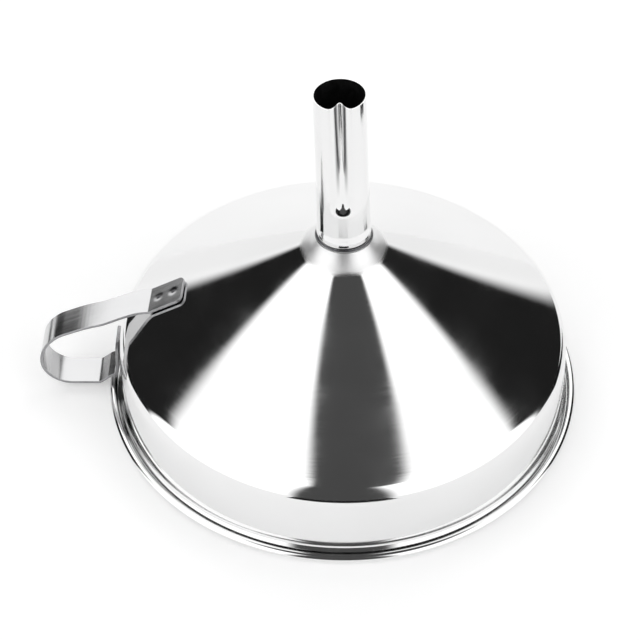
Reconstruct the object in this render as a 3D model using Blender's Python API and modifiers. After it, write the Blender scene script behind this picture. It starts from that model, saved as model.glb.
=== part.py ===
"""Small stainless canning funnel, standing on its rolled rim with the spout up.

Metres, +Z up.  The funnel's axis is parallel to Z, the strap handle reaches towards -X, and the
origin is at the middle of the bounding box's bottom.  Every profile below is written in
millimetres as (radius or x, z), measured from the funnel's axis and from the plane of the rim.
"""
import math

import bmesh
import bpy
from mathutils import Matrix, Vector

MM = 0.001

# Driving dimensions, in millimetres
RIM_RADIUS = 65.0           # outside of the rolled rim
LOOP_REACH = 83.1           # axis to the outside of the handle
TOTAL_HEIGHT = 99.0
SHEET = 0.5                 # bowl and spout sheet
AXIS_X = (LOOP_REACH - RIM_RADIUS) / 2
FIT_GAP = 0.3               # clearance between touching pieces

# Bowl: cone, rounded shoulder, wall, rolled rim
CONE_SLOPE = math.radians(30.5)
WALL_SLOPE = math.radians(86.0)
SHOULDER_CENTRE = (54.99, 17.32)
SHOULDER_RADIUS = 5.8       # outside of the sheet
BEAD_RADIUS = 1.15          # outside of the rolled rim's tube
BEAD_FLAT = 0.35            # half the width of the ring it stands on
WALL_FOOT = 3.6             # height where the wall starts to flare into the rim
WALL_FOOT_FLARE = 62.25
NECK_RADIUS = 7.6           # outside of the upturned collar
NECK_LEAN = math.radians(22.0)   # of the collar's top; one curve leads from there to the cone
NECK_TOP = 53.9
BOWL_STEPS = 60

# Spout: a tapered tube with a vent groove pressed into its front, welded on slightly askew
SPOUT_LEAN = math.radians(2.0)   # towards the handle, about the collar's top
SPOUT_FOOT = 49.5
SPOUT_INSERT_RADIUS = 6.75  # the part inside the collar
SPOUT_FLARE_RADIUS = 7.15
SPOUT_BASE_RADIUS = 6.85
SPOUT_TIP_RADIUS = 6.46
SPOUT_TIP = NECK_TOP + (TOTAL_HEIGHT - NECK_TOP
                        - SPOUT_TIP_RADIUS * math.sin(SPOUT_LEAN)) / math.cos(SPOUT_LEAN)
SPOUT_RINGS = (92.0, 85.0, 78.0, 72.0, 69.0, 67.7, 66.4, 65.0, 61.0, 58.2)  # heights
SPOUT_STEPS = 44
GROOVE_DEPTH = 3.2          # at the tip
GROOVE_END_DEPTH = 0.9      # just above its lower end
GROOVE_WIDTH = 1.75
GROOVE_FOOT = 65.5
GROOVE_RUNOUT = 3.5

# Weld ring in the seam between collar and spout
SEAM_INNER = 7.06
SEAM_OUTER = 7.42
SEAM_BOTTOM = NECK_TOP + FIT_GAP
SEAM_HEIGHT = 0.4
SEAM_CLEARANCE = 0.5        # above the ring, so that the leaning spout stays off it

# Handle: one strap, bent into a D, with a flat tab at each end
STRAP_WIDTH = 9.0
STRAP_THICKNESS = 0.8
TAB_GAP = 0.3               # between each tab and the bowl
UPPER_TAB_INNER = 42.7      # radius of the tab's free end
UPPER_TAB_OUTER = 51.9      # radius of the bend at its foot
LOWER_TAB_TOP = 16.4
LOWER_TAB_FOOT = 5.6
LOOP_BOTTOM = 2.0           # middle of the strap's underside run
LOOP_CORNERS = (            # x, z and bend radius of the D's corners, away from the tabs
    (-66.3, 24.9, 45.0),
    (-82.0, 18.1, 12.0),
    (-83.55, LOOP_BOTTOM, 8.0),
    (-67.4, LOOP_BOTTOM, 2.0),
    (-64.6, LOOP_BOTTOM + 2.4, 1.2),
)
NUGGET_RADIUS = 1.2
UPPER_WELDS = (45.3, 49.4)  # radii
LOWER_WELDS = (8.2, 13.2)   # heights

STEEL = (0.62, 0.62, 0.63, 1.0)
WELD_GREY = (0.36, 0.36, 0.37, 1.0)


def start_scene():
    """Empty the scene and return the collection of the parts and that of the cutters."""
    for old in list(bpy.data.objects):
        bpy.data.objects.remove(old, do_unlink=True)
    folders = []
    for name in ("canning_funnel", "cutters"):
        folder = bpy.data.collections.new(name)
        bpy.context.scene.collection.children.link(folder)
        folders.append(folder)
    return folders


def steel_material(name, colour, roughness):
    material = bpy.data.materials.new(name)
    material.use_nodes = True
    shader = material.node_tree.nodes["Principled BSDF"]
    shader.inputs["Base Color"].default_value = colour
    shader.inputs["Metallic"].default_value = 1.0
    shader.inputs["Roughness"].default_value = roughness
    return material


def add_object(name, bm, folder, material):
    """Turn a bmesh, in metres, into an object named for its sub-part."""
    mesh = bpy.data.meshes.new(name)
    bm.to_mesh(mesh)
    bm.free()
    obj = bpy.data.objects.new(name, mesh)
    folder.objects.link(obj)
    mesh.materials.append(material)
    return obj


def arc(centre, radius, first, last, steps):
    """Points on an arc, between two angles in radians."""
    points = []
    for i in range(steps + 1):
        angle = first + (last - first) * i / steps
        points.append((centre[0] + radius * math.cos(angle), centre[1] + radius * math.sin(angle)))
    return points


def chain(points, place):
    """A bmesh holding one open chain of edges through the points."""
    bm = bmesh.new()
    verts = [bm.verts.new(place(a, b)) for a, b in points]
    for before, after in zip(verts, verts[1:]):
        bm.edges.new((before, after))
    return bm


def turned(name, outline, steps, folder, material):
    """A closed outline in the +X half plane, turned about the funnel's axis with a Screw."""
    bm = chain(outline + outline[:1], lambda radius, z: (radius * MM, 0.0, z * MM))
    bmesh.ops.remove_doubles(bm, verts=bm.verts, dist=0.000001)
    obj = add_object(name, bm, folder, material)
    obj.location = (AXIS_X * MM, 0.0, 0.0)
    screw = obj.modifiers.new("turn", "SCREW")
    screw.axis = "Z"
    screw.steps = steps
    screw.render_steps = steps
    screw.use_merge_vertices = True
    screw.merge_threshold = 0.000001
    return obj


def thicken(obj, thickness, offset):
    solidify = obj.modifiers.new("sheet", "SOLIDIFY")
    solidify.thickness = thickness * MM
    solidify.offset = offset
    solidify.use_even_offset = True


def cone_height(radius):
    """Height of the cone's outer face above the rim plane."""
    foot_radius = SHOULDER_CENTRE[0] + SHOULDER_RADIUS * math.sin(CONE_SLOPE)
    foot_height = SHOULDER_CENTRE[1] + SHOULDER_RADIUS * math.cos(CONE_SLOPE)
    return foot_height + (foot_radius - radius) * math.tan(CONE_SLOPE)


def wall_radius(height):
    """Radius of the wall's outer face at a height above the rim plane."""
    top_radius = SHOULDER_CENTRE[0] + SHOULDER_RADIUS * math.sin(WALL_SLOPE)
    top_height = SHOULDER_CENTRE[1] + SHOULDER_RADIUS * math.cos(WALL_SLOPE)
    return top_radius + (top_height - height) / math.tan(WALL_SLOPE)


def neck_points():
    """Middle of the sheet from the collar's top, down one tangent curve, to the start of the cone."""
    middle = SHEET / 2
    start = math.pi + NECK_LEAN
    end = 1.5 * math.pi - CONE_SLOPE
    top_radius = NECK_RADIUS - middle
    above_cone = NECK_TOP - cone_height(top_radius) + middle / math.cos(CONE_SLOPE)
    fall = math.sin(start) - math.sin(end)
    reach = math.cos(end) - math.cos(start)
    radius = above_cone / (fall - reach * math.tan(CONE_SLOPE))
    centre = (top_radius - radius * math.cos(start), NECK_TOP - radius * math.sin(start))
    return arc(centre, radius, start, end, 4)


def shoulder_points():
    """Middle of the sheet over the rounded shoulder, from the cone's foot to the wall's top."""
    return arc(SHOULDER_CENTRE, SHOULDER_RADIUS - SHEET / 2,
               math.pi / 2 - CONE_SLOPE, math.pi / 2 - WALL_SLOPE, 4)


def rim_points():
    """Middle of the sheet down the wall's foot and round the rolled rim: under, out, up and in."""
    middle = SHEET / 2
    radius = BEAD_RADIUS - middle
    centre = (RIM_RADIUS - BEAD_RADIUS, BEAD_RADIUS)
    wall_foot = [(wall_radius(WALL_FOOT) - middle, WALL_FOOT), (WALL_FOOT_FLARE, 0.6 * WALL_FOOT)]
    under = arc(centre, radius, 1.07 * math.pi, 1.35 * math.pi, 1)
    flat = [(centre[0] - BEAD_FLAT, middle), (centre[0] + BEAD_FLAT, middle)]
    over = arc(centre, radius, -0.28 * math.pi, 0.66 * math.pi, 4)
    return wall_foot + under + flat + over


def sheet_outline(points, thickness):
    """Closed outline of a sheet: its outer side in the points' order, then its inner side back."""
    sides = ([], [])
    last = len(points) - 1
    for i, point in enumerate(points):
        here = Vector(point)
        before = (here - Vector(points[max(i - 1, 0)])).normalized()
        after = (Vector(points[min(i + 1, last)]) - here).normalized()
        along = (before + after).normalized()
        stretch = 1.0 / along.dot(after if i < last else before)
        outward = Vector((-along.y, along.x)) * stretch * thickness / 2
        sides[0].append(tuple(here + outward))
        sides[1].append(tuple(here - outward))
    return sides[0] + sides[1][::-1]


def make_bowl(folder, material):
    """Collar, cone, shoulder, wall and rolled rim: one sheet, turned from its outline."""
    middle = neck_points() + shoulder_points() + rim_points()
    return turned("bowl", sheet_outline(middle, SHEET), BOWL_STEPS, folder, material)


def spout_profile():
    """Outside of the spout as (radius, z), from the tip down to its foot inside the collar."""
    shoulder = SEAM_BOTTOM + SEAM_HEIGHT + SEAM_CLEARANCE
    points = [(SPOUT_TIP_RADIUS, SPOUT_TIP)]
    taper = (SPOUT_BASE_RADIUS - SPOUT_TIP_RADIUS) / (SPOUT_TIP - shoulder)
    for z in SPOUT_RINGS:
        points.append((SPOUT_TIP_RADIUS + taper * (SPOUT_TIP - z), z))
    points.append((SPOUT_FLARE_RADIUS, shoulder + 1.0))
    points.append((SPOUT_FLARE_RADIUS - 0.1, shoulder + 0.3))
    points.append((SPOUT_INSERT_RADIUS, shoulder))
    points.append((SPOUT_INSERT_RADIUS, SPOUT_FOOT))
    return points


def groove_depth(z):
    """Depth of the vent groove at a height, in millimetres."""
    if z <= GROOVE_FOOT:
        return 0.0
    along = (z - GROOVE_FOOT) / (SPOUT_TIP - GROOVE_FOOT)
    depth = GROOVE_END_DEPTH + (GROOVE_DEPTH - GROOVE_END_DEPTH) * along
    return depth * min(1.0, (z - GROOVE_FOOT) / GROOVE_RUNOUT)


def press_groove(bm):
    """Push the front of the tube, which faces -Y, inwards along the vent groove."""
    front = Vector((0.0, -1.0))
    for vert in bm.verts:
        radial = Vector((vert.co.x, vert.co.y))
        around = radial.angle(front) * radial.length / MM
        push = groove_depth(vert.co.z / MM) * math.exp(-(around / GROOVE_WIDTH) ** 2)
        scale = 1.0 - push * MM / radial.length
        vert.co.x *= scale
        vert.co.y *= scale


def make_spout(folder, material):
    """The tube is spun from its profile, pressed in along the groove, and thickened inwards."""
    bm = chain(spout_profile(), lambda radius, z: (0.0, -radius * MM, z * MM))
    bmesh.ops.spin(bm, geom=bm.verts[:] + bm.edges[:], cent=(0.0, 0.0, 0.0), axis=(0.0, 0.0, 1.0),
                   angle=2 * math.pi, steps=SPOUT_STEPS, use_merge=True, use_duplicate=False)
    bmesh.ops.remove_doubles(bm, verts=bm.verts, dist=0.000001)
    bm.normal_update()
    bm.faces.ensure_lookup_table()
    sample = bm.faces[0]
    if sample.normal.xy.dot(sample.calc_center_median().xy) < 0:
        bmesh.ops.reverse_faces(bm, faces=bm.faces)
    press_groove(bm)
    spout = add_object("spout", bm, folder, material)
    collar_top = Vector((0.0, 0.0, NECK_TOP)) * MM
    spout.matrix_world = (Matrix.Translation(collar_top + Vector((AXIS_X * MM, 0.0, 0.0)))
                          @ Matrix.Rotation(-SPOUT_LEAN, 4, "Y")
                          @ Matrix.Translation(-collar_top))
    thicken(spout, SHEET, -1.0)
    return spout


def make_seam(folder, material):
    top = SEAM_BOTTOM + SEAM_HEIGHT
    outline = [(SEAM_INNER, top), (SEAM_OUTER, top), (SEAM_OUTER, SEAM_BOTTOM),
               (SEAM_INNER, SEAM_BOTTOM)]
    return turned("neck_weld_ring", outline, SPOUT_STEPS, folder, material)


def rounded(corners):
    """A path through (x, z, radius) corners, each rounded with an arc of its own radius."""
    path = [Vector(corners[0][:2])]
    for before, here, after in zip(corners, corners[1:], corners[2:]):
        corner = Vector(here[:2])
        back = (Vector(before[:2]) - corner).normalized()
        ahead = (Vector(after[:2]) - corner).normalized()
        half = back.angle(ahead) / 2
        centre = corner + (back + ahead).normalized() * here[2] / math.sin(half)
        arm = corner + back * here[2] / math.tan(half) - centre
        turn = math.copysign(math.pi - 2 * half, ahead.x * back.y - ahead.y * back.x)
        steps = max(2, round(abs(turn) / 0.3))
        for i in range(steps + 1):
            path.append(centre + Matrix.Rotation(turn * i / steps, 2) @ arm)
    path.append(Vector(corners[-1][:2]))
    return path


def tab_lift():
    return TAB_GAP + STRAP_THICKNESS / 2


def upper_tab_point(radius):
    """Middle of the strap over the cone at a radius, on the -X side, as (x, z)."""
    lift = tab_lift()
    return (-radius - lift * math.sin(CONE_SLOPE), cone_height(radius) + lift * math.cos(CONE_SLOPE))


def lower_tab_point(height):
    """Middle of the strap beside the wall at a height, on the -X side, as (x, z)."""
    return (-wall_radius(height) - tab_lift(), height)


def handle_path():
    """Middle of the strap: upper tab, top of the D, its outer end, its underside, lower tab."""
    return rounded([
        (*upper_tab_point(UPPER_TAB_INNER), 0.0),
        (*upper_tab_point(UPPER_TAB_OUTER), 1.2),
        *LOOP_CORNERS,
        (*lower_tab_point(LOWER_TAB_FOOT), 1.6),
        (*lower_tab_point(LOWER_TAB_TOP), 0.0),
    ])


def make_cutter(name, where, tilt, radius, folder):
    """A short cylinder whose axis is +Z tilted about Y."""
    bm = bmesh.new()
    bmesh.ops.create_cone(bm, cap_ends=True, segments=16, radius1=radius * MM, radius2=radius * MM,
                          depth=3 * STRAP_THICKNESS * MM)
    mesh = bpy.data.meshes.new(name)
    bm.to_mesh(mesh)
    bm.free()
    cutter = bpy.data.objects.new(name, mesh)
    folder.objects.link(cutter)
    cutter.matrix_world = Matrix.Translation(where) @ Matrix.Rotation(tilt, 4, "Y")
    cutter.hide_render = True
    cutter.display_type = "WIRE"
    return cutter


def weld_places():
    """Name, centre and tilt of each spot weld: two along the upper tab, two along the lower."""
    places = []
    for i, radius in enumerate(UPPER_WELDS, 1):
        x, z = upper_tab_point(radius)
        places.append((f"spot_weld_upper_{i}", Vector((x + AXIS_X, 0.0, z)) * MM, -CONE_SLOPE))
    for i, height in enumerate(LOWER_WELDS, 1):
        x, z = lower_tab_point(height)
        places.append((f"spot_weld_lower_{i}", Vector((x + AXIS_X, 0.0, z)) * MM, -WALL_SLOPE))
    return places


def make_handle(folder, cutters, material):
    """A ribbon drawn across the strap's width from its path, thickened, with holes for the welds."""
    half = STRAP_WIDTH / 2 * MM
    bm = chain(handle_path(), lambda x, z: ((x + AXIS_X) * MM, -half, z * MM))
    drawn = bmesh.ops.extrude_edge_only(bm, edges=bm.edges[:])
    moved = [item for item in drawn["geom"] if isinstance(item, bmesh.types.BMVert)]
    bmesh.ops.translate(bm, verts=moved, vec=(0.0, 2 * half, 0.0))
    handle = add_object("handle_strap", bm, folder, material)
    thicken(handle, STRAP_THICKNESS, 0.0)
    for name, where, tilt in weld_places():
        hole = handle.modifiers.new(name, "BOOLEAN")
        hole.operation = "DIFFERENCE"
        hole.object = make_cutter(name + "_hole", where, tilt, NUGGET_RADIUS + FIT_GAP, cutters)
    return handle


def make_spot_welds(folder, material):
    """One round nugget in each hole of the tabs, as thick as the strap."""
    for name, where, tilt in weld_places():
        bm = bmesh.new()
        bmesh.ops.create_cone(bm, cap_ends=True, segments=16, radius1=NUGGET_RADIUS * MM,
                              radius2=NUGGET_RADIUS * MM, depth=STRAP_THICKNESS * MM)
        nugget = add_object(name, bm, folder, material)
        nugget.matrix_world = Matrix.Translation(where) @ Matrix.Rotation(tilt, 4, "Y")


def main():
    parts, cutters = start_scene()
    polished = steel_material("polished_steel", STEEL, 0.12)
    weld = steel_material("weld_metal", WELD_GREY, 0.4)
    make_bowl(parts, polished)
    make_spout(parts, polished)
    make_seam(parts, weld)
    make_handle(parts, cutters, polished)
    make_spot_welds(parts, weld)


main()
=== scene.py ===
"""The looks of the stainless canning funnel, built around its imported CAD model.

Metres, +Z up.  Profiles are written in millimetres as (radius or x, z), measured from the
funnel's axis and from the plane of the rim, as in the CAD source.
"""
import math

import bmesh
import bpy
from mathutils import Matrix, Vector


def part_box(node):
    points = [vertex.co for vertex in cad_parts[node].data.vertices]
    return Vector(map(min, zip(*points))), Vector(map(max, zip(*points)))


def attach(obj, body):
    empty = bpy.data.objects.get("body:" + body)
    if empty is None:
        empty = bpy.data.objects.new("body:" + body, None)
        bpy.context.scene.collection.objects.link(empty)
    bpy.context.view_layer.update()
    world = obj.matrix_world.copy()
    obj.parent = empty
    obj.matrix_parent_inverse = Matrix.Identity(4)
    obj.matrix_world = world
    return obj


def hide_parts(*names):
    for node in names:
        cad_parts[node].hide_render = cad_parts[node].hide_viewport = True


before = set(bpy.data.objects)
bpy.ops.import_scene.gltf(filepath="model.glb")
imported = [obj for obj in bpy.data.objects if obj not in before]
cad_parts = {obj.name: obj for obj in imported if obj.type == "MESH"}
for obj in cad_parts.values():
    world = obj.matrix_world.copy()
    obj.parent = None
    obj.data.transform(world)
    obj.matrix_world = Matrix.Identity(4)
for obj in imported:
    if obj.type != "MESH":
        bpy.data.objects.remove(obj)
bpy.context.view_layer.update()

MM = 0.001
SHARP_EDGE = math.radians(40.0)
BOWL_LOW, BOWL_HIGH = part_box("bowl")
STRAP_LOW, STRAP_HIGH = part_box("handle_strap")
SEAM_LOW, SEAM_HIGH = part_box("neck_weld_ring")
AXIS = Vector(((BOWL_LOW.x + BOWL_HIGH.x) / 2, (BOWL_LOW.y + BOWL_HIGH.y) / 2, 0.0))

# Bowl: collar, cone, rounded shoulder, wall, rolled rim
RIM_RADIUS = round((BOWL_HIGH.x - BOWL_LOW.x) / 2 / MM, 1)
SHEET = 0.5
NECK_TOP = 53.9
NECK_RADIUS = 7.6
NECK_LEAN = math.radians(22.0)      # of the collar's top; one curve leads from there to the cone
CONE_SLOPE = math.radians(30.5)
WALL_SLOPE = math.radians(86.0)
SHOULDER_CENTRE = (54.99, 17.32)
SHOULDER_RADIUS = 5.8
FLARE_RADIUS = 2.5                  # curve between the wall's foot and the rim's lean
FLARE_RUN = 2.28                    # straight run from that curve to the roll
RIM_LEAN = math.radians(32.0)
BEAD_RADIUS = 1.15                  # outside of the roll
CURL_END = 2.66 * math.pi           # angle round the roll where the sheet ends
BOWL_STEPS = 288

# Spout: a tapered tube with a vent groove pressed into its front, welded on slightly askew
SPOUT_LEAN = math.radians(2.0)      # towards the handle, about the collar's top
SPOUT_SHEET = 0.3
SPOUT_FOOT = 49.5
SPOUT_INSERT_RADIUS = 6.75
SPOUT_ROUND = 0.25                  # of the step from the insert to the flare
SPOUT_FLARE_RADIUS = 7.12
SPOUT_FLARE_HEIGHT = 1.0            # of the flare's widest ring above the step
SPOUT_FLARE_REACH = 2.6             # from that ring to where the flare dies out
SPOUT_BASE_RADIUS = 6.85
SPOUT_TIP_RADIUS = 6.5
SPOUT_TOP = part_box("spout")[1].z / MM - 0.05
SPOUT_TIP = NECK_TOP + (SPOUT_TOP - NECK_TOP
                        - SPOUT_TIP_RADIUS * math.sin(SPOUT_LEAN)) / math.cos(SPOUT_LEAN)
SPOUT_STEPS = 220
SEAM_RIPPLES = ((0.02, 47, 0.0), (0.015, 11, 1.0))  # depth, waves round the seam, phase
SEAM_CLEARANCE = 0.5                # from the weld seam's top to the step
RING_STEP = 0.5                     # between the rings of points along the tube
FLARE_RING_STEP = 0.2
FLARE_ZONE = 5.0                    # height above the step that has the finer rings
GROOVE_DEPTH = 3.2                  # at the tip
GROOVE_END_DEPTH = 1.0              # just above its lower end
GROOVE_WIDTH = 1.75
GROOVE_FOOT = 65.5
GROOVE_RUNOUT = 3.5

# Handle: one strap, bent into a D, with a flat tab at each end
STRAP_WIDTH = (STRAP_HIGH.y - STRAP_LOW.y) / MM
STRAP_THICKNESS = 0.8
STRAP_STEP = 0.35                   # longest step between the rows of points along it
STRAP_COLUMNS = 24
BEND_STEP = 0.025                   # radians between rows round a bend
TAB_LIFT = 0.3 + STRAP_THICKNESS / 2    # the middle of a tab above the bowl's face
UPPER_TAB_INNER = 42.7
UPPER_TAB_OUTER = 51.9
LOWER_TAB_TOP = 16.4
LOWER_TAB_FOOT = 5.6
LOOP_BOTTOM = 2.0
LOOP_CORNERS = (            # x, z and bend radius of the D's corners, away from the tabs
    (-66.3, 24.9, 45.0),
    (-81.95, 18.1, 12.0),
    (-83.5, LOOP_BOTTOM, 8.0),
    (-67.4, LOOP_BOTTOM, 2.0),
    (-64.6, LOOP_BOTTOM + 2.4, 1.2),
)
TAB_CORNER = 1.6
TAB_SKEW = math.radians(-3.2)       # the upper tab sits a little behind the lower one
SKEW_START = -66.0                  # x where the strap starts to turn towards it
SKEW_RUN = 13.0
UPPER_WELDS = (45.3, 49.4)          # radii
LOWER_WELDS = (8.2, 13.2)           # heights
DIMPLE_DEPTH = 0.08
DIMPLE_RADIUS = 1.15
NUGGET_RADIUS = 1.08
NUGGET_LIP = 0.024
NUGGET_CROWN = 0.06

# Finish, and the painted shade in the vent groove; lengths in metres
COLLAR_ROUGHNESS = 0.42             # the collar was ground after welding
COLLAR_EDGE = (0.0125, 0.0098)      # radii between which that finish sets in
GROOVE_SHADE_SIDES = ((0.0004, 0.0009), (0.0017, 0.0010))  # sideways from the groove's middle, where the painted shade on its walls sets in and ends
GROOVE_SHADE_HEIGHTS = (0.070, 0.083)        # heights between which the painted groove shade sets in
SMUDGE_SCALE = 55.0
PATCH_SCALE = 22.0
LINES_SCALE = 2600.0                # of the fine tool lines
LINES_STRETCH = 0.03                # along drawn and brushed lines

# Studio: soft edges, as bearings from the camera's side and elevations in degrees
SIDE_NEAR = (92.0, 97.0)
SIDE_FAR = (144.0, 138.0)
SIDE_TOP = (44.5, 39.5)
FRONT_LEFT = (-25.0, -18.0)
FRONT_RIGHT = (25.0, 17.0)
FRONT_TOP = (72.0, 66.0)
BACKDROP_NEAR = (130.0, 148.0)
BACKDROP_TOP = (40.0, 20.0)
OVERHEAD_CENTRE = (0.065, -0.03)    # the opening overhead, in the direction's x and y
OVERHEAD_SQUEEZE = (1.25, 0.9)
OVERHEAD_EDGE = (0.44, 0.38)
TENT_LEVEL = 1.42
BACKDROP_DIMMING = 0.42
FLOOR_REACH = 3.0
FLOOR_DROP = 0.0002                 # under the rim, so that no faces coincide
FLOOR_GREY = 0.86
FLOOR_GLOW = 0.27
CARDS = {                           # black cards on the floor: two bearings, nearest distance
    "front_card": (-20.0, 19.0, 0.155),
    "right_card": (94.0, 116.0, 0.135),
    "left_card": (-116.0, -94.0, 0.135),
}
CARD_REACH = 2.9
CARD_DROP = 0.0001

# Camera, relative to the funnel's axis at the rim's plane
CAMERA_PLACE = Vector((-6.2, -307.4, 335.8)) * MM
CAMERA_PITCH = math.radians(45.57)
CAMERA_LENS = 90.96


def arc(centre, radius, first, last, steps):
    """Points on an arc, between two angles in radians."""
    points = []
    for i in range(steps + 1):
        angle = first + (last - first) * i / steps
        points.append((centre[0] + radius * math.cos(angle), centre[1] + radius * math.sin(angle)))
    return points


def line(start, end, steps):
    """Points inside a straight run, without its ends."""
    return [tuple(Vector(start).lerp(Vector(end), i / steps)) for i in range(1, steps)]


def cone_height(radius):
    """Height of the cone's outer face above the rim plane."""
    foot_radius = SHOULDER_CENTRE[0] + SHOULDER_RADIUS * math.sin(CONE_SLOPE)
    foot_height = SHOULDER_CENTRE[1] + SHOULDER_RADIUS * math.cos(CONE_SLOPE)
    return foot_height + (foot_radius - radius) * math.tan(CONE_SLOPE)


def wall_radius(height):
    """Radius of the wall's outer face at a height above the rim plane."""
    top_radius = SHOULDER_CENTRE[0] + SHOULDER_RADIUS * math.sin(WALL_SLOPE)
    top_height = SHOULDER_CENTRE[1] + SHOULDER_RADIUS * math.cos(WALL_SLOPE)
    return top_radius + (top_height - height) / math.tan(WALL_SLOPE)


def neck_points():
    """Middle of the sheet from the collar's top, down one tangent curve, to the start of the cone."""
    middle = SHEET / 2
    start = math.pi + NECK_LEAN
    end = 1.5 * math.pi - CONE_SLOPE
    top_radius = NECK_RADIUS - middle
    above_cone = NECK_TOP - cone_height(top_radius) + middle / math.cos(CONE_SLOPE)
    fall = math.sin(start) - math.sin(end)
    reach = math.cos(end) - math.cos(start)
    radius = above_cone / (fall - reach * math.tan(CONE_SLOPE))
    centre = (top_radius - radius * math.cos(start), NECK_TOP - radius * math.sin(start))
    return arc(centre, radius, start, end, 20)


def shoulder_points():
    """Middle of the sheet over the rounded shoulder."""
    return arc(SHOULDER_CENTRE, SHOULDER_RADIUS - SHEET / 2,
               math.pi / 2 - CONE_SLOPE, math.pi / 2 - WALL_SLOPE, 18)


def rim_points():
    """Middle of the sheet from the flare at the wall's foot to the curled-in edge of the rim."""
    middle = SHEET / 2
    radius = BEAD_RADIUS - middle
    centre = (RIM_RADIUS - BEAD_RADIUS, BEAD_RADIUS)
    curl = arc(centre, radius, math.pi + RIM_LEAN, CURL_END, 40)
    flare_end = Vector(curl[0]) + Vector((-math.sin(RIM_LEAN), math.cos(RIM_LEAN))) * FLARE_RUN
    flare_centre = flare_end + Vector((math.cos(RIM_LEAN), math.sin(RIM_LEAN))) * FLARE_RADIUS
    flare = arc(flare_centre, FLARE_RADIUS, 1.5 * math.pi - WALL_SLOPE, math.pi + RIM_LEAN, 8)
    return flare + line(flare[-1], curl[0], 4) + curl


def sheet_outline(points, thickness):
    """Closed outline of a sheet: its outer side in the points' order, then its inner side back."""
    outer, inner = [], []
    last = len(points) - 1
    for i, point in enumerate(points):
        here = Vector(point)
        before = (here - Vector(points[max(i - 1, 0)])).normalized()
        after = (Vector(points[min(i + 1, last)]) - here).normalized()
        along = (before + after).normalized()
        stretch = 1.0 / along.dot(after if i < last else before)
        outward = Vector((-along.y, along.x)) * stretch * thickness / 2
        outer.append(tuple(here + outward))
        inner.append(tuple(here - outward))
    return outer + inner[::-1]


def bowl_outline():
    """Collar, cone, shoulder, wall and rolled rim as one sheet."""
    neck = neck_points()
    shoulder = shoulder_points()
    rim = rim_points()
    cone = line(neck[-1], shoulder[0], 26)
    wall = line(shoulder[-1], rim[0], 10)
    return sheet_outline(neck + cone + shoulder + wall + rim, SHEET)


def new_object(name, bm):
    """Turn a bmesh into a smooth-shaded object."""
    mesh = bpy.data.meshes.new(name)
    bm.to_mesh(mesh)
    bm.free()
    mesh.shade_smooth()
    obj = bpy.data.objects.new(name, mesh)
    bpy.context.scene.collection.objects.link(obj)
    return obj


def spun(points, steps, closed):
    """A bmesh of a profile in the (radius, z) plane, spun about Z and facing out."""
    bm = bmesh.new()
    verts = [bm.verts.new((0.0, -radius * MM, z * MM)) for radius, z in points]
    ends = verts[1:] + verts[:1] if closed else verts[1:]
    for before, after in zip(verts, ends):
        bm.edges.new((before, after))
    bmesh.ops.spin(bm, geom=bm.verts[:] + bm.edges[:], cent=(0.0, 0.0, 0.0), axis=(0.0, 0.0, 1.0),
                   angle=2 * math.pi, steps=steps, use_merge=True, use_duplicate=False)
    bmesh.ops.remove_doubles(bm, verts=bm.verts, dist=0.0000005)
    bm.normal_update()
    bm.faces.ensure_lookup_table()
    sample = bm.faces[0]
    if sample.normal.xy.dot(sample.calc_center_median().xy) < 0:
        bmesh.ops.reverse_faces(bm, faces=bm.faces)
    return bm


def soften_edges(obj, width):
    """Round an object's sharp edges and keep the broad faces' own normals."""
    bevel = obj.modifiers.new("soft_edges", "BEVEL")
    bevel.width = width * MM
    bevel.segments = 2
    bevel.limit_method = "ANGLE"
    bevel.angle_limit = SHARP_EDGE
    bevel.harden_normals = True


def make_bowl(material):
    bowl = new_object("bowl_shell", spun(bowl_outline(), BOWL_STEPS, closed=True))
    bowl.location = AXIS
    soften_edges(bowl, 0.12)
    finish_piece(bowl, material, "bowl")


def spout_profile():
    """Outside of the spout as (radius, z), from the tip down to its foot inside the collar."""
    shoulder = SEAM_HIGH.z / MM + SEAM_CLEARANCE
    taper = (SPOUT_BASE_RADIUS - SPOUT_TIP_RADIUS) / (SPOUT_TIP - shoulder)
    flare_centre = shoulder + SPOUT_FLARE_HEIGHT
    points = []
    z = SPOUT_TIP
    while z > shoulder:
        radius = SPOUT_TIP_RADIUS + taper * (SPOUT_TIP - z)
        nearness = max(0.0, 1.0 - abs(z - flare_centre) / SPOUT_FLARE_REACH)
        bulge = (SPOUT_FLARE_RADIUS - SPOUT_BASE_RADIUS) * nearness * nearness * (3 - 2 * nearness)
        points.append((radius + bulge, z))
        z -= RING_STEP if z > shoulder + FLARE_ZONE else FLARE_RING_STEP
    corner = (SPOUT_INSERT_RADIUS, shoulder + SPOUT_ROUND)
    points += arc(corner, SPOUT_ROUND, 0.0, -math.pi / 2, 4)
    points += [(SPOUT_INSERT_RADIUS, shoulder - 0.05), (SPOUT_INSERT_RADIUS, SPOUT_FOOT)]
    return points


def groove_depth(z):
    """Depth of the vent groove at a height, in millimetres."""
    if z <= GROOVE_FOOT:
        return 0.0
    along = (z - GROOVE_FOOT) / (SPOUT_TIP - GROOVE_FOOT)
    depth = GROOVE_END_DEPTH + (GROOVE_DEPTH - GROOVE_END_DEPTH) * along
    rise = min(1.0, (z - GROOVE_FOOT) / GROOVE_RUNOUT)
    return depth * rise * rise * (3 - 2 * rise)


def press_groove(bm):
    """Push the front of the tube, which faces -Y, inwards along the vent groove."""
    front = Vector((0.0, -1.0))
    for vert in bm.verts:
        radial = vert.co.xy
        around = radial.angle(front) * radial.length / MM
        push = groove_depth(vert.co.z / MM) * math.exp(-(around / GROOVE_WIDTH) ** 2)
        scale = 1.0 - push * MM / radial.length
        vert.co.x *= scale
        vert.co.y *= scale


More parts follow.
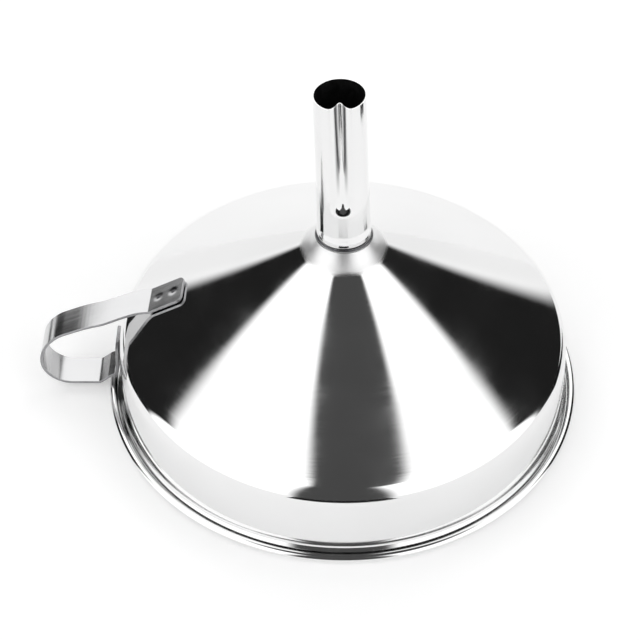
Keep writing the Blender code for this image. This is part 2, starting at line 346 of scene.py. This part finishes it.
def make_spout(material, inside):
    bm = spun(spout_profile(), SPOUT_STEPS, closed=False)
    press_groove(bm)
    spout = new_object("spout_tube", bm)
    collar_top = Vector((0.0, 0.0, NECK_TOP)) * MM
    spout.matrix_world = (Matrix.Translation(AXIS + collar_top)
                          @ Matrix.Rotation(-SPOUT_LEAN, 4, "Y")
                          @ Matrix.Translation(-collar_top))
    solidify = spout.modifiers.new("sheet", "SOLIDIFY")
    solidify.thickness = SPOUT_SHEET * MM
    solidify.offset = -1.0
    solidify.material_offset = 1
    soften_edges(spout, 0.08)
    finish_piece(spout, material, "spout")
    # the tube's inner faces take the near-black painted shade
    spout.data.materials.append(inside)


def make_seam(material):
    """A low, slightly uneven fused bead between collar and spout."""
    half = (SEAM_HIGH.z - SEAM_LOW.z) / 2 / MM
    middle = (SEAM_HIGH.z + SEAM_LOW.z) / 2 / MM
    outer = (SEAM_HIGH.x - SEAM_LOW.x) / 2 / MM
    radius = outer - half
    outline = arc((radius, middle), half, math.pi / 2, -math.pi / 2, 10)
    outline += [(radius - half, middle - half), (radius - half, middle + half)]
    bm = spun(outline, SPOUT_STEPS, closed=True)
    for vert in bm.verts:
        angle = math.atan2(vert.co.y, vert.co.x)
        dip = sum(depth * (1 + math.sin(waves * angle + phase)) for depth, waves, phase in SEAM_RIPPLES)
        vert.co.xy *= 1.0 - dip * MM / vert.co.xy.length
    seam = new_object("neck_seam", bm)
    seam.location = AXIS
    finish_piece(seam, material, "neck_weld_ring")


def rounded(corners):
    """A path through (x, z, radius) corners, each rounded with an arc of its own radius."""
    path = [Vector(corners[0][:2])]
    for before, here, after in zip(corners, corners[1:], corners[2:]):
        corner = Vector(here[:2])
        back = (Vector(before[:2]) - corner).normalized()
        ahead = (Vector(after[:2]) - corner).normalized()
        half = back.angle(ahead) / 2
        centre = corner + (back + ahead).normalized() * here[2] / math.sin(half)
        arm = corner + back * here[2] / math.tan(half) - centre
        turn = math.copysign(math.pi - 2 * half, ahead.x * back.y - ahead.y * back.x)
        steps = max(3, round(abs(turn) / BEND_STEP))
        for i in range(steps + 1):
            path.append(centre + Matrix.Rotation(turn * i / steps, 2) @ arm)
    path.append(Vector(corners[-1][:2]))
    return path


def upper_tab_point(radius):
    """Middle of the strap over the cone at a radius, on the -X side, as (x, z)."""
    return (-radius - TAB_LIFT * math.sin(CONE_SLOPE),
            cone_height(radius) + TAB_LIFT * math.cos(CONE_SLOPE))


def lower_tab_point(height):
    """Middle of the strap beside the wall at a height, on the -X side, as (x, z)."""
    return (-wall_radius(height) - TAB_LIFT, height)


def handle_path():
    """Middle of the strap: upper tab, top of the D, its outer end, its underside, lower tab."""
    return rounded([
        (*upper_tab_point(UPPER_TAB_INNER), 0.0),
        (*upper_tab_point(UPPER_TAB_OUTER), 1.2),
        *LOOP_CORNERS,
        (*lower_tab_point(LOWER_TAB_FOOT), 1.6),
        (*lower_tab_point(LOWER_TAB_TOP), 0.0),
    ])


def evenly(path, step):
    """The path with its long runs divided, and how far along it each point lies."""
    points = [path[0]]
    for before, after in zip(path, path[1:]):
        pieces = max(1, math.ceil((after - before).length / step))
        points += [before.lerp(after, i / pieces) for i in range(1, pieces + 1)]
    distances = [0.0]
    for before, after in zip(points, points[1:]):
        distances.append(distances[-1] + (after - before).length)
    return points, distances


def half_width(distance, total):
    """Half the strap's width, less near its ends where the corners are rounded."""
    from_end = min(distance, total - distance)
    cut = max(0.0, TAB_CORNER - from_end)
    return STRAP_WIDTH / 2 - TAB_CORNER + math.sqrt(TAB_CORNER ** 2 - cut ** 2)


def weld_dimple(point, across, welds):
    """How far the weld electrode has pressed the tab in at a point, in millimetres."""
    dip = 0.0
    for weld in welds:
        away = math.hypot((point - Vector(weld)).length, across)
        dip += DIMPLE_DEPTH * math.exp(-(away / DIMPLE_RADIUS) ** 4)
    return dip


def tab_turn(x):
    """How far the strap is turned about the funnel's axis at an x: all of it at the upper tab."""
    near = min(1.0, max(0.0, (x - SKEW_START) / SKEW_RUN))
    return Matrix.Rotation(TAB_SKEW * near * near * (3 - 2 * near), 3, "Z")


def make_handle(material, edge):
    """The strap as rows of points across its path, thickened, with its cut edges in their own steel."""
    points, distances = evenly(handle_path(), STRAP_STEP)
    total = distances[-1]
    welds = [upper_tab_point(r) for r in UPPER_WELDS] + [lower_tab_point(h) for h in LOWER_WELDS]
    bm = bmesh.new()
    rows = []
    for i, (point, distance) in enumerate(zip(points, distances)):
        width = half_width(distance, total)
        ahead = (points[min(i + 1, len(points) - 1)] - points[max(i - 1, 0)]).normalized()
        inward = Vector((-ahead.y, ahead.x))
        row = []
        for j in range(STRAP_COLUMNS + 1):
            across = width * (2 * j / STRAP_COLUMNS - 1)
            place = point + inward * weld_dimple(point, across, welds)
            place = Vector((place.x, across, place.y))
            if distance < total / 3:    # the upper leg only
                place = tab_turn(point.x) @ place
            row.append(bm.verts.new(place * MM))
        rows.append(row)
    for before, after in zip(rows, rows[1:]):
        for j in range(STRAP_COLUMNS):
            bm.faces.new((before[j], before[j + 1], after[j + 1], after[j]))
    strap = new_object("handle_strap_bent", bm)
    strap.location = AXIS
    solidify = strap.modifiers.new("strap", "SOLIDIFY")
    solidify.thickness = STRAP_THICKNESS * MM
    solidify.offset = 0.0
    solidify.material_offset_rim = 1
    soften_edges(strap, 0.14)
    finish_piece(strap, material, "handle_strap")
    strap.data.materials.append(edge)


def make_nuggets(material):
    """The fused spot in the middle of each weld's dimple: a shallow lens, flush with the tab."""
    half = STRAP_THICKNESS / 2
    rim = half - 2 * NUGGET_CROWN
    places = []
    for i, radius in enumerate(UPPER_WELDS, 1):
        places.append((f"spot_weld_upper_{i}", upper_tab_point(radius), -CONE_SLOPE, TAB_SKEW))
    for i, height in enumerate(LOWER_WELDS, 1):
        places.append((f"spot_weld_lower_{i}", lower_tab_point(height), -WALL_SLOPE, 0.0))
    for name, (x, z), tilt, skew in places:
        dome = [(NUGGET_RADIUS * math.sin(a), rim + NUGGET_CROWN * math.cos(a))
                for a in (0.15, 0.5, 0.9, 1.3)]
        side = [(NUGGET_RADIUS + NUGGET_LIP, rim), (NUGGET_RADIUS, -half)]
        bm = spun([(0.02, rim + NUGGET_CROWN)] + dome + side + [(0.02, -half)], 40, closed=True)
        nugget = new_object(name + "_fused", bm)
        nugget.matrix_world = (Matrix.Translation(AXIS) @ Matrix.Rotation(skew, 4, "Z")
                               @ Matrix.Translation(Vector((x, 0.0, z)) * MM)
                               @ Matrix.Rotation(tilt, 4, "Y"))
        finish_piece(nugget, material, name)


def finish_piece(obj, material, cad_node):
    """Give a piece its material and its body, and hide the CAD node it stands for."""
    obj.data.materials.append(material)
    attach(obj, "root")
    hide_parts(cad_node)


def turned_lines(tree, split):
    """Coordinates that change with radius and height, for lines left by spinning, and the radius."""
    x, y, z = split.outputs
    radius = hypotenuse(tree, x, y)
    return combined(tree, radius, 0.0, z), radius


def drawn_lines(tree, split):
    """Coordinates that change round a tube, and hardly along it, for lines left by drawing."""
    x, y, z = split.outputs
    round_tube = math_node(tree, "MULTIPLY", math_node(tree, "ARCTAN2", x, y), SPOUT_BASE_RADIUS * MM)
    return combined(tree, round_tube, 0.0, math_node(tree, "MULTIPLY", z, LINES_STRETCH))


def brushed_lines(tree, split):
    """Coordinates that change across the strap, and hardly along it."""
    x, y, z = split.outputs
    return combined(tree, math_node(tree, "MULTIPLY", x, LINES_STRETCH), y,
                    math_node(tree, "MULTIPLY", z, LINES_STRETCH))


def combined(tree, *values):
    made = node(tree, "ShaderNodeCombineXYZ")
    for socket, value in zip(made.inputs, values):
        if isinstance(value, (int, float)):
            socket.default_value = value
        else:
            tree.links.new(value, socket)
    return made.outputs[0]


def noise(tree, vector, scale, detail):
    made = node(tree, "ShaderNodeTexNoise")
    tree.links.new(vector, made.inputs["Vector"])
    made.inputs["Scale"].default_value = scale
    made.inputs["Detail"].default_value = detail
    return made.outputs["Fac"]


def spread(tree, value, low, high, to_low, to_high):
    """Map a range of values onto another, held at its ends."""
    made = node(tree, "ShaderNodeMapRange")
    tree.links.new(value, made.inputs["Value"])
    for key, number in (("From Min", low), ("From Max", high), ("To Min", to_low), ("To Max", to_high)):
        made.inputs[key].default_value = number
    return made.outputs["Result"]


def tinted(tree, factor, colour, other):
    mix = node(tree, "ShaderNodeMix", data_type="RGBA")
    tree.links.new(factor, mix.inputs["Factor"])
    mix.inputs["A"].default_value = (*colour, 1.0)
    mix.inputs["B"].default_value = (*other, 1.0)
    return mix.outputs["Result"]


def lined_steel(name, colour, roughness, kind, depth):
    """Polished steel with fine tool lines, smudges and faint patches; kind is how it was made. A drawn
    tube also gets painted shade on the walls of its vent groove.
    """
    material = bpy.data.materials.new(name)
    material.use_nodes = True
    tree = material.node_tree
    shader = tree.nodes["Principled BSDF"]
    shader.inputs["Metallic"].default_value = 1.0
    place = node(tree, "ShaderNodeTexCoord").outputs["Object"]
    split = node(tree, "ShaderNodeSeparateXYZ")
    tree.links.new(place, split.inputs[0])
    smudge = noise(tree, place, SMUDGE_SCALE, 3.0)
    patches = noise(tree, place, PATCH_SCALE, 2.0)
    rough = spread(tree, smudge, 0.4, 0.7, roughness * 0.8, roughness * 1.7)
    patchy = spread(tree, patches, 0.4, 0.65, 0.0, 1.0)
    tint = tinted(tree, patchy, colour, [c * 0.965 for c in colour])
    if kind == "spun":
        vector, radius = turned_lines(tree, split)
        collar = product(tree, ramp(tree, radius, *COLLAR_EDGE), COLLAR_ROUGHNESS)
        rough = math_node(tree, "MAXIMUM", rough, collar)
    elif kind == "drawn":
        vector = drawn_lines(tree, split)
        # painted shade on the walls of the vent groove
        tint = groove_painted_shade(tree, split, tint)
    else:
        vector = brushed_lines(tree, split)
    lines = noise(tree, vector, LINES_SCALE, 2.0)
    bump = node(tree, "ShaderNodeBump")
    bump.inputs["Strength"].default_value = 0.2
    bump.inputs["Distance"].default_value = depth
    tree.links.new(lines, bump.inputs["Height"])
    tree.links.new(bump.outputs[0], shader.inputs["Normal"])
    rough = math_node(tree, "ADD", rough, spread(tree, lines, 0.45, 0.75, 0.0, roughness * 0.4))
    tree.links.new(rough, shader.inputs["Roughness"])
    tree.links.new(tint, shader.inputs["Base Color"])
    return material


def groove_painted_shade(tree, split, tint):
    """Darken the two walls of the vent groove with painted shade."""
    x, y, z = split.outputs
    aside = math_node(tree, "ABSOLUTE", x)
    start, end = GROOVE_SHADE_SIDES
    wall = product(tree, ramp(tree, aside, *start), ramp(tree, aside, *end),
                   math_node(tree, "LESS_THAN", y, 0.0), ramp(tree, z, *GROOVE_SHADE_HEIGHTS), 0.8)
    mix = node(tree, "ShaderNodeMix", data_type="RGBA")
    tree.links.new(wall, mix.inputs["Factor"])
    tree.links.new(tint, mix.inputs["A"])
    # near-black colour of the painted groove shade
    mix.inputs["B"].default_value = (0.08, 0.08, 0.085, 1.0)
    return mix.outputs["Result"]


def rough_steel(name, colour, roughness, grain):
    """Unpolished metal: a fused weld, a sheared edge, or the inside of the tube, whose near-black
    colour is painted shade.
    """
    material = bpy.data.materials.new(name)
    material.use_nodes = True
    tree = material.node_tree
    shader = tree.nodes["Principled BSDF"]
    shader.inputs["Metallic"].default_value = 1.0
    place = node(tree, "ShaderNodeTexCoord").outputs["Object"]
    pits = noise(tree, place, grain, 4.0)
    tint = tinted(tree, spread(tree, pits, 0.35, 0.65, 0.0, 1.0), colour, [c * 0.7 for c in colour])
    tree.links.new(tint, shader.inputs["Base Color"])
    rough = spread(tree, pits, 0.35, 0.65, roughness * 0.8, roughness * 1.25)
    tree.links.new(rough, shader.inputs["Roughness"])
    bump = node(tree, "ShaderNodeBump")
    bump.inputs["Strength"].default_value = 0.3
    bump.inputs["Distance"].default_value = 0.00005
    tree.links.new(pits, bump.inputs["Height"])
    tree.links.new(bump.outputs[0], shader.inputs["Normal"])
    return material


def make_floor():
    """A pale floor that glows a little, so that it shows as white as the surround."""
    bm = bmesh.new()
    bmesh.ops.create_grid(bm, x_segments=1, y_segments=1, size=FLOOR_REACH)
    floor = new_object("floor", bm)
    floor.location = (0.0, 0.0, -FLOOR_DROP)
    floor.data.materials.append(plain_material("pale_floor", FLOOR_GREY, FLOOR_GLOW))


def make_card(name, first, last, near):
    """A black card on the floor, seen only in the steel: a sector between two bearings."""
    bm = bmesh.new()
    corners = []
    for angle in (first, (first + last) / 2, last):
        corners.append((math.sin(math.radians(angle)), -math.cos(math.radians(angle))))
    outline = [(x * near, y * near) for x, y in corners]
    outline += [(x * CARD_REACH, y * CARD_REACH) for x, y in corners[::-1]]
    bm.faces.new([bm.verts.new((x, y, 0.0)) for x, y in outline])
    card = new_object(name, bm)
    card.location = AXIS + Vector((0.0, 0.0, -CARD_DROP))
    card.data.materials.append(plain_material(name + "_black", 0.01, 0.0))
    card.visible_camera = False
    card.visible_diffuse = False
    card.visible_shadow = False


def plain_material(name, grey, glow):
    material = bpy.data.materials.new(name)
    material.use_nodes = True
    shader = material.node_tree.nodes["Principled BSDF"]
    shader.inputs["Base Color"].default_value = (grey, grey, grey, 1.0)
    shader.inputs["Roughness"].default_value = 1.0
    shader.inputs["Specular IOR Level"].default_value = 0.0
    shader.inputs["Emission Color"].default_value = (1.0, 1.0, 1.0, 1.0)
    shader.inputs["Emission Strength"].default_value = glow
    return material


def node(tree, kind, **settings):
    made = tree.nodes.new(kind)
    for key, value in settings.items():
        setattr(made, key, value)
    return made


def math_node(tree, operation, *inputs):
    made = node(tree, "ShaderNodeMath", operation=operation)
    for socket, value in zip(made.inputs, inputs):
        if isinstance(value, (int, float)):
            socket.default_value = value
        else:
            tree.links.new(value, socket)
    return made.outputs[0]


def ramp(tree, value, low, high):
    """0 below low and 1 above high, smooth between; low may be above high to turn it round."""
    made = node(tree, "ShaderNodeMapRange", interpolation_type="SMOOTHSTEP")
    tree.links.new(value, made.inputs["Value"])
    made.inputs["From Min"].default_value = low
    made.inputs["From Max"].default_value = high
    return made.outputs["Result"]


def product(tree, first, *others):
    """The product of node values and numbers."""
    for other in others:
        first = math_node(tree, "MULTIPLY", first, other)
    return first


def hypotenuse(tree, a, b):
    """The length of a vector with two perpendicular parts."""
    squares = math_node(tree, "ADD", product(tree, a, a), product(tree, b, b))
    return math_node(tree, "SQRT", squares)


def dimmed(tree, level, mask, share):
    """The level, lowered by a share of itself where the mask is 1."""
    return product(tree, level, math_node(tree, "SUBTRACT", 1.0, product(tree, mask, share)))


def make_world():
    """A white light tent, open overhead and in front, with a dark card behind each side."""
    world = bpy.data.worlds.new("studio")
    bpy.context.scene.world = world
    world.use_nodes = True
    tree = world.node_tree
    tree.nodes.clear()
    direction = node(tree, "ShaderNodeTexCoord").outputs["Generated"]
    split = node(tree, "ShaderNodeSeparateXYZ")
    tree.links.new(direction, split.inputs[0])
    x, y, z = split.outputs
    toward = math_node(tree, "MULTIPLY", y, -1.0)
    bearing = product(tree, math_node(tree, "ARCTAN2", x, toward), math.degrees(1.0))
    either_side = math_node(tree, "ABSOLUTE", bearing)
    elevation = product(tree, math_node(tree, "ARCSINE", z), math.degrees(1.0))

    sides = product(tree, ramp(tree, either_side, *SIDE_NEAR), ramp(tree, either_side, *SIDE_FAR),
                    ramp(tree, elevation, *SIDE_TOP))
    across = product(tree, math_node(tree, "SUBTRACT", x, OVERHEAD_CENTRE[0]), OVERHEAD_SQUEEZE[0])
    along = product(tree, math_node(tree, "SUBTRACT", y, OVERHEAD_CENTRE[1]), OVERHEAD_SQUEEZE[1])
    overhead = product(tree, ramp(tree, hypotenuse(tree, across, along), *OVERHEAD_EDGE),
                       math_node(tree, "GREATER_THAN", z, 0.0))
    front = product(tree, ramp(tree, bearing, *FRONT_LEFT), ramp(tree, bearing, *FRONT_RIGHT),
                    ramp(tree, elevation, *FRONT_TOP))
    openings = math_node(tree, "MAXIMUM", front, overhead)
    backdrop = product(tree, ramp(tree, either_side, *BACKDROP_NEAR),
                       ramp(tree, elevation, *BACKDROP_TOP))

    level = math_node(tree, "SUBTRACT", TENT_LEVEL, product(tree, backdrop, BACKDROP_DIMMING))
    level = dimmed(tree, level, sides, 0.99)
    level = dimmed(tree, level, openings, 0.95)
    seen = node(tree, "ShaderNodeLightPath").outputs["Is Camera Ray"]
    mix = node(tree, "ShaderNodeMix", data_type="FLOAT")
    tree.links.new(seen, mix.inputs["Factor"])
    tree.links.new(level, mix.inputs["A"])
    mix.inputs["B"].default_value = 1.0
    background = node(tree, "ShaderNodeBackground")
    tree.links.new(mix.outputs["Result"], background.inputs["Color"])
    output = node(tree, "ShaderNodeOutputWorld")
    tree.links.new(background.outputs[0], output.inputs["Surface"])


def make_camera():
    data = bpy.data.cameras.new("camera")
    data.lens = CAMERA_LENS
    data.sensor_width = 36.0
    data.clip_start = 0.01
    camera = bpy.data.objects.new("camera", data)
    camera.location = AXIS + CAMERA_PLACE
    camera.rotation_euler = (math.pi / 2 - CAMERA_PITCH, 0.0, 0.0)
    bpy.context.scene.collection.objects.link(camera)
    bpy.context.scene.camera = camera


def main():
    for old in ("Cube", "Light", "Camera"):
        if old in bpy.data.objects:
            bpy.data.objects.remove(bpy.data.objects[old], do_unlink=True)
    bpy.context.scene.view_settings.view_transform = "Standard"
    make_camera()
    make_world()
    make_floor()
    for name, sector in CARDS.items():
        make_card(name, *sector)
    bowl_steel = lined_steel("bowl_steel", (0.84, 0.84, 0.84), 0.07, "spun", 0.00001)
    spout_steel = lined_steel("spout_steel", (0.86, 0.86, 0.86), 0.08, "drawn", 0.000012)
    strap_steel = lined_steel("strap_steel", (0.61, 0.61, 0.615), 0.17, "brushed", 0.000018)
    weld_metal = rough_steel("weld_metal", (0.16, 0.16, 0.17), 0.35, 1500.0)
    cut_edge = rough_steel("cut_edge", (0.40, 0.40, 0.41), 0.4, 2500.0)
    # inside of the tube: rough unpolished steel, its near-black colour painted as the shade deep in the
    # tube
    inside_painted_shade = rough_steel("inside_painted_shade", (0.06, 0.06, 0.06), 0.5, 900.0)
    make_bowl(bowl_steel)
    make_spout(spout_steel, inside_painted_shade)
    make_seam(weld_metal)
    make_handle(strap_steel, cut_edge)
    make_nuggets(weld_metal)


main()
